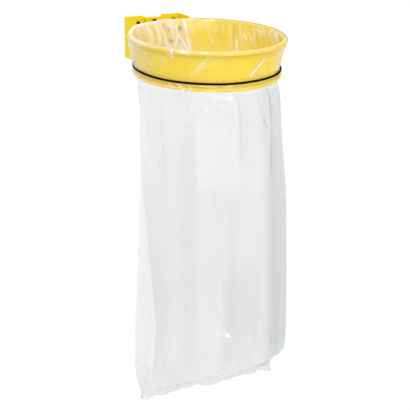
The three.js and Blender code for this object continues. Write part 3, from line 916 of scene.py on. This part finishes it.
def rim_lift(theta):
    """How far the film stands above the bead: bunched at the back, over the arm, and left of it."""
    turn, rise = zip(*RIM_LIFT)
    stand = np.interp(np.degrees(theta) % 360, turn, rise)
    return stand * (1 + 0.12 * rim_waves(theta, 0)) + 0.15 * np.abs(rim_waves(theta, 3))


def band_radius(z):
    """The band's outside radius at a height in the ring's frame."""
    return np.interp(z, [BAND_BOTTOM, BAND_TOP], [BAND_BOTTOM_RADIUS, BAND_TOP_RADIUS])


FILM_OFF_BEAD = 0.4
FILM_OFF_BAND = 0.6
CUFF_ROWS, BEAD_ROWS, THROAT_ROWS = 22, 14, 34
CUFF_AT_CORD = 182.9
CUFF_AT_BEAD = RING_RADIUS + FILM_OFF_BEAD
CUFF_OVER_ARM = 1.2
FLARE = 5.2  # how far the film spreads below the elastic, to clear the lower bead
FLARE_HEIGHT = 8
LOOSE_HEM = 1.6


def cuff_rows(theta):
    """Rows from the hem up to the bead, in the ring's frame.

    A row is (radius, height, whiteness, darkness, band reflection): whiteness from milky film and
    painted glints, darkness from painted shade under the bead, and how much painted reflection of
    the band shows. At the left the film is milky and stands off the band; elsewhere it hugs it,
    the more the higher hug is.
    """
    hem, over_arm = hem_height(theta)
    milky = between(theta, -150, -84, 30)
    hug = 1.3 - 0.8 * milky + 0.2 * between(theta, 30, 120, 30)
    rows = []
    for k in range(CUFF_ROWS + 1):
        t = k / CUFF_ROWS
        z = hem + (-TOP_BEAD - hem) * t
        below = np.clip((CORD_HEIGHT - z) / FLARE_HEIGHT, 0, 1)
        up = np.clip((z - CORD_HEIGHT) / (-TOP_BEAD - CORD_HEIGHT), 0, 1)
        straight = CUFF_AT_CORD + (CUFF_AT_BEAD - CUFF_AT_CORD) * up**hug
        torn = 5 * between(theta, -118, -104, 10) + 6 * between(theta, 50, 62, 10)
        loose_hem = LOOSE_HEM + np.abs(hem_waves(theta, 1)) * 0.7 + torn
        flare = below * FLARE + smooth(-z, 92, 100) * loose_hem
        lift, milk_and_glint, _ = fold_field(theta, z, CUFF_FOLDS, 195)
        slack = cuff_waves(theta, z) * np.sin(up * math.pi)
        r = straight + flare + lift * 0.7 + slack + over_arm * CUFF_OVER_ARM
        r = np.maximum(r, np.minimum(band_radius(z) + FILM_OFF_BAND, CUFF_AT_BEAD))
        milk_and_glint = np.maximum(milk_and_glint, milky * (0.18 + 0.18 * up))
        milk_and_glint = milk_and_glint + 0.02 * below + 0.04 * bump_at(z, CORD_HEIGHT, 4)
        # where the film shows the painted reflection of the band: its upper part, away from the
        # milky left
        band_reflection = (1 - milky) * smooth(up, 0, 0.25)
        # painted shade: a darker band on the cuff just under the bead
        shade = 0.25 * bump_at(up, 0.93, 0.08)
        rows.append((r, z, milk_and_glint, shade, band_reflection))
    return rows


def bead_rows(theta):
    """Rows over the bead, from its outside to its inside.

    The film is whitish at the left and where it is bunched. A painted highlight runs as a thin
    white line along the inside there, and a fainter one over the front. Painted shade darkens the
    bead's outer half, and at the far right a dark line of painted shade runs over the top.
    """
    lift = rim_lift(theta)
    left = between(theta, -172, -70, 34)
    front = between(theta, -60, 50, 30)
    bunched = 0.16 * between(theta, 163, 222, 9)
    far_edge = between(theta, 58, 164, 12)
    inner_edge_highlight = 0.7 * between(theta, -150, -25, 30)
    rows = []
    ring = TOP_BEAD + FILM_OFF_BEAD
    for k in range(1, BEAD_ROWS):
        t = k / BEAD_ROWS
        a = math.pi * t
        r = RING_RADIUS - TOP_BEAD + ring * math.cos(a)
        z = -TOP_BEAD + ring * math.sin(a) + math.sin(a) ** 2 * lift
        pleat = np.abs(rim_waves(theta, 2)) * 0.04
        inward = smooth(t, 0.3, 0.7)
        _, folds, _ = fold_field(theta, z, THROAT_FOLDS, 187)
        _, outer_folds, _ = fold_field(theta, z, CUFF_FOLDS, 200)
        folds = folds * inward + outer_folds * (1 - inward)
        # milky film at the left, and a painted highlight over the front of the bead
        milk_and_glint = (0.36 * left + 0.10 * front) * (1 - 0.4 * inward) + bunched + pleat + folds
        # painted highlight: a thin white line along the bead's inner edge
        milk_and_glint = milk_and_glint + inner_edge_highlight * bump_at(t, 0.64, 0.10)
        # painted shade: the bead's outer half darker, and a dark outline over the top at the far
        # right
        far_edge_shade = 1.3 * far_edge * (1 - smooth(t, 0.55, 0.75))
        shade = (0.4 - 0.1 * front) * (1 - inward) + far_edge_shade
        # the last value is where the painted reflection of the band shows
        rows.append((r + 0 * theta, z, milk_and_glint, shade, 1 - left))
    return rows


THROAT_END = -98


def throat_rows(theta):
    """Rows down the inside of the band, where the film is crumpled and bunched at the back."""
    rows = []
    start_r = RING_RADIUS - 2 * TOP_BEAD - FILM_OFF_BEAD
    bunched = between(theta, 162, 224, 14)
    near_left = between(theta, -150, -90, 30)
    right = between(theta, 70, 112, 20)
    for k in range(THROAT_ROWS + 1):
        t = k / THROAT_ROWS
        z = -TOP_BEAD + (THROAT_END + TOP_BEAD) * t + 0 * theta
        wall = np.interp(z, [THROAT_END, -48, -20, -TOP_BEAD], [177.0, 178.5, 181.5, start_r])
        loose = smooth(-z, 4, 30) * (1 - 0.4 * smooth(-z, 80, -THROAT_END))
        lift, milk_and_glint, shade = fold_field(theta, z, THROAT_FOLDS, 180)
        waves = throat_waves(theta, z)
        slack = np.abs(waves) * (0.8 + 1.0 * bunched)
        r = wall - loose * slack - lift * (0.4 + 0.6 * loose) - 0.5
        crumple = 0.4 + 0.6 * np.abs(np.sin(waves * 1.7))
        low = 1 - smooth(-z, 84, 97)
        over_bolts = between(theta, 172, 204, 10)
        whiteness = (0.04 + 0.08 * bunched + 0.09 * over_bolts + 0.14 * near_left) * low * crumple
        # painted glints near the top of the throat's right side
        whiteness = whiteness + 0.05 * right * (1 - smooth(-z, 14, 30)) * crumple
        rows.append((r, z, milk_and_glint * low + whiteness, shade, 0 * theta))
    return rows


BODY_STATIONS = [
    # height, half width, depth in front, depth at the back, exponent
    (-60, 178.5, 179, 179, 2.0),
    (-165, 179.5, 181, 181, 2.0),
    (-230, 182, 184, 184, 2.0),
    (-298, 186, 187, 187, 2.0),
    (-375, 190, 190, 190, 2.0),
    (-480, 193.5, 193, 193, 2.0),
    (-590, 196, 195, 195, 2.05),
    (-690, 198, 195, 195, 2.1),
    (-750, 199, 190, 193, 2.2),
    (-790, 199, 172, 190, 2.3),
    (-815, 199, 140, 186, 2.3),
    (-840, 199, 96, 176, 2.3),
    (-862, 198.5, 56, 150, 2.3),
    (-880, 197.5, 23, 96, 2.3),
    (-889, 198, 7, 40, 2.5),
    (-893, 198.5, 2, 6, 3.0),
    (-908, 198.5, 1.5, 1.5, 3.0),
]
# Where the hanging part's middle settles: height, and the place in x and y.
HANG = [
    (-50, 0, -320),
    (-80, 2, -322),
    (-130, 4.5, -324),
    (-230, 7.5, -325),
    (-375, 12, -327),
    (-650, 10, -326),
    (-830, 6.5, -326),
    (-880, -1, -326),
]


def body_point(theta, height, lift):
    """A point of the hanging sack, in mm in the row frame."""
    z0, half_x, front, back, power = (np.array(c, float) for c in zip(*BODY_STATIONS))
    hang_z, hang_x, hang_y = (np.array(c, float) for c in zip(*HANG))
    at = -height
    a = np.interp(at, -z0, half_x)
    p = np.interp(at, -z0, power)
    centre_x = np.interp(at, -hang_z, hang_x)
    centre_y = np.interp(at, -hang_z, hang_y)
    s, c = np.sin(theta), np.cos(theta)
    b = np.where(c > 0, np.interp(at, -z0, front), np.interp(at, -z0, back))
    unit = (np.abs(s) ** p + np.abs(c) ** p) ** (-1 / p)
    flat = smooth(at, 800, 885)
    flap = smooth(at, 894, 908)
    x = centre_x + (a + lift * (1 - 0.8 * flat)) * unit * s
    y = centre_y - (b + lift * (1 - 0.9 * flat)) * unit * c + 3 * flap * flap_waves(np.arcsin(s), 0)
    z = height + 1.2 * smooth(at, 880, 908) * flap_waves(np.arcsin(s), 1)
    return np.stack([x, y, z], 1)


# Rows are closer together where the film is creased: near the ring, and at the foot and seal.
BODY_HEIGHTS = np.concatenate(
    [
        np.linspace(-62, -200, 28, endpoint=False),
        np.linspace(-200, -720, 32, endpoint=False),
        np.linspace(-720, -890, 26, endpoint=False),
        np.linspace(-890, SACK_BOTTOM, 7),
    ]
)
SEAL, SEAL_WIDTH, SEAL_MILK = -893, 2.2, 0.2
HEM_MILK, SCALLOP_MILK = 0.14, 0.4
FOOT_MILK = 0.03
BODY_LAYERS, LOWER_LAYERS, BAND_LAYERS = 0.31, 0.13, 0.05


def body_rows(theta, last_throat):
    """Rows of (points, whiteness, darkness) of the hanging part, joined to the last row of the
    throat.
    The darkness is film lying together with painted shade on the creases and facets.
    """
    rows = []
    for height in BODY_HEIGHTS:
        lift, milk_and_glint, shade = fold_field(theta, height + 0 * theta, BODY_FOLDS, 190)
        lift = lift + body_waves(theta, height) * smooth(-height, 60, 130)
        foot = smooth(-height, 690, 800) * (1 - smooth(-height, 880, 895))
        lift = lift + foot_waves(theta, height) * foot
        target = body_point(theta, height, lift) * MM
        join = smooth(-height, 52, 92)
        straight = last_throat.copy()
        straight[:, 2] += (height + 50) * MM
        point = straight + (target - straight) * join
        seal = np.exp(-(((height - SEAL) / SEAL_WIDTH) ** 2)) * SEAL_MILK
        scallops = np.clip(flap_waves(theta, 2), 0, 1)
        hem = smooth(-height, 896, 900) * (HEM_MILK + SCALLOP_MILK * scallops)
        layers_and_shade = BODY_LAYERS * smooth(-height, 50, 75) + LOWER_LAYERS * smooth(-height, 120, 700)
        # painted shade: darker and lighter facets and dark crease lines
        layers_and_shade = layers_and_shade + panel_tone(theta, height) + shade
        layers_and_shade = layers_and_shade + BAND_LAYERS * body_bands(theta, height)
        rows.append((point, milk_and_glint + seal + hem + FOOT_MILK * foot, layers_and_shade))
    return rows


def grid_normals(grid):
    """Normals of a grid of rows x around points, closed around."""
    along = np.gradient(grid, axis=0)
    across = np.roll(grid, -1, axis=1) - np.roll(grid, 1, axis=1)
    normal = np.cross(across, along)
    size = np.linalg.norm(normal, axis=2)[..., None]
    return normal / np.maximum(size, 1e-12)


CUT_TUBE = 0.19  # radius of the tube that the flat film is wrapped into, m


def make_sack(material):
    """The film as one closed skin: all rows, once outwards and once inwards by half a thickness."""
    theta = np.linspace(0, TAU, COLUMNS, endpoint=False)
    grid, milk_and_glints, layers_and_shade, band_reflections = [], [], [], []
    for r, z, milk_and_glint, layer, band_reflection in cuff_rows(theta) + bead_rows(theta) + throat_rows(theta):
        local = np.stack([r * np.sin(theta), -r * np.cos(theta), z + 0 * theta], 1)
        grid.append(ring_to_world(local))
        milk_and_glints.append(milk_and_glint)
        layers_and_shade.append(layer)
        band_reflections.append(band_reflection)
    for point, milk_and_glint, layer in body_rows(theta, grid[-1]):
        grid.append(point)
        milk_and_glints.append(milk_and_glint)
        layers_and_shade.append(layer)
        band_reflections.append(0 * theta)
    grid = np.array(grid)

    offset = grid_normals(grid) * (FILM * MM / 2)
    points = np.concatenate([(grid + offset).reshape(-1, 3), (grid - offset).reshape(-1, 3)])
    count = len(points) // 2
    one_side = tube_faces(len(grid), COLUMNS)
    faces = one_side + [tuple(v + count for v in f[::-1]) for f in one_side]
    end = count - COLUMNS
    for k in range(COLUMNS):
        m = (k + 1) % COLUMNS
        faces.append((k, k + count, m + count, m))
        faces.append((end + m, end + m + count, end + k + count, end + k))
    sack = mesh_object("film_sack", points, faces, material, 120)

    down = np.concatenate([[0], np.cumsum(np.linalg.norm(np.diff(grid, axis=0), axis=2).mean(1))])
    t, d = np.meshgrid(theta, down)
    cut = np.stack([CUT_TUBE * np.cos(t), CUT_TUBE * np.sin(t), d], 2).reshape(-1, 3)
    point_values(sack, "milk_and_glint", np.clip(np.concatenate(milk_and_glints), 0, 1))
    point_values(sack, "layers_and_shade", np.clip(np.concatenate(layers_and_shade) / DENSE, 0, 1))
    point_values(sack, "band_reflection", np.concatenate(band_reflections))
    point_values(sack, "cut", cut)
    return sack


def point_values(piece, name, values):
    """Writes an attribute, the same on the film's two sides."""
    both = np.concatenate([values, values])
    if both.ndim == 1:
        piece.data.attributes.new(name, "FLOAT", "POINT").data.foreach_set("value", both)
    else:
        layer = piece.data.attributes.new(name, "FLOAT_VECTOR", "POINT")
        layer.data.foreach_set("vector", both.reshape(-1))


# ---------------------------------------------------------------- carried-over CAD nodes


def finish_cad_node(name, material, edge):
    """Softens the folded sheet's edges and gives it its coat; the mesh itself isn't touched."""
    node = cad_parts[name]
    node.data.materials.clear()
    node.data.materials.append(material)
    weld = node.modifiers.new("weld", "WELD")
    weld.merge_threshold = 1e-5
    bevel = node.modifiers.new("soft_edges", "BEVEL")
    bevel.width = edge * MM
    bevel.segments = 3
    bevel.limit_method = "ANGLE"
    bevel.angle_limit = math.radians(35)
    bevel.harden_normals = True


# ---------------------------------------------------------------- stage


def make_stage():
    """A wide pale floor below the sack's foot."""
    size = 60
    floor_z = -1.35
    sides = ((-size, -size), (size, -size), (size, size), (-size, size))
    corners = [(x, y, floor_z) for x, y in sides]
    floor = mesh_object("floor", corners, [(0, 1, 2, 3)], floor_paint())
    return floor


def area_light(name, place, target, size, power, lit):
    """A soft light. It reaches what the collection lit holds, or leaves out what that excludes."""
    data = bpy.data.lights.new(name, "AREA")
    data.shape = "RECTANGLE"
    data.size, data.size_y = size
    data.energy = power
    light = bpy.data.objects.new(name, data)
    light.location = place
    way = Vector(target) - Vector(place)
    light.rotation_euler = way.to_track_quat("-Z", "Y").to_euler()
    bpy.context.collection.objects.link(light)
    light.light_linking.receiver_collection = lit


def light_group(name, piece, state):
    group = bpy.data.collections.new(name)
    group.objects.link(piece)
    group.collection_objects[0].light_linking.link_state = state
    return group


SKY_MIDDLE, SKY_SIDES = 1.36, 0.72
SKY_SEEN = 1.02  # as bright as the floor, so that no horizon shows


def make_sky():
    """White all round, brighter in front, behind and above than at the sides."""
    world = bpy.data.worlds.new("studio")
    world.use_nodes = True
    tree = world.node_tree
    place = tree.nodes.new("ShaderNodeTexCoord")
    axes = tree.nodes.new("ShaderNodeSeparateXYZ")
    aside = tree.nodes.new("ShaderNodeMath")
    aside.operation = "ABSOLUTE"
    level = tree.nodes.new("ShaderNodeMapRange")
    level.inputs["To Min"].default_value = SKY_MIDDLE
    level.inputs["To Max"].default_value = SKY_SIDES
    tree.links.new(place.outputs["Generated"], axes.inputs[0])
    tree.links.new(axes.outputs["X"], aside.inputs[0])
    tree.links.new(aside.outputs[0], level.inputs["Value"])
    lit = tree.nodes["Background"]
    lit.inputs["Color"].default_value = (1, 1, 1, 1)
    tree.links.new(level.outputs["Result"], lit.inputs["Strength"])
    seen = tree.nodes.new("ShaderNodeBackground")
    seen.inputs["Color"].default_value = (1, 1, 1, 1)
    seen.inputs["Strength"].default_value = SKY_SEEN
    path = tree.nodes.new("ShaderNodeLightPath")
    choice = tree.nodes.new("ShaderNodeMixShader")
    tree.links.new(path.outputs["Is Camera Ray"], choice.inputs[0])
    tree.links.new(lit.outputs[0], choice.inputs[1])
    tree.links.new(seen.outputs[0], choice.inputs[2])
    tree.links.new(choice.outputs[0], tree.nodes["World Output"].inputs["Surface"])
    bpy.context.scene.world = world


def make_light(floor, sack):
    """The lamps leave the floor out, so that it stays even, and the film has one of its own."""
    make_sky()
    scene = bpy.context.scene
    scene.view_settings.view_transform = "Standard"
    scene.cycles.transparent_max_bounces = 48
    not_floor = light_group("not_floor", floor, "EXCLUDE")
    film_only = light_group("film_only", sack, "INCLUDE")
    middle = (0, -0.3, -0.2)
    rim = (0, -0.3, 0.05)
    area_light("key", (-1.3, -3.2, 1.9), middle, (1.4, 1.4), 21, not_floor)
    area_light("strip_front", (0.3, -3.2, 1.2), middle, (0.2, 1.6), 7, not_floor)
    area_light("top", (0.2, -0.6, 2.6), middle, (1.2, 1.2), 5, not_floor)
    area_light("film_glint", (-1.0, -2.0, 2.6), rim, (0.5, 0.5), 38, film_only)


# ---------------------------------------------------------------- build

make_camera()
floor = make_stage()

coat = yellow_coat()
oxide = black_oxide()

finish_cad_node("wall_plate", coat, 0.7)
finish_cad_node("hook_bridge", coat, 0.7)
finish_cad_node("ring_arm", coat, 0.7)

band = make_band(coat)
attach(band, "ring")
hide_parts("ring_band")

make_bracket_screws(oxide)
make_lock_screw(oxide)
make_ring_bolts(zinc())

elastic = make_elastic(elastic_rubber())
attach(elastic, "elastic")
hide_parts("elastic_cord")

sack = make_sack(clear_film())
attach(sack, "ring")
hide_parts("bag")

make_light(floor, sack)
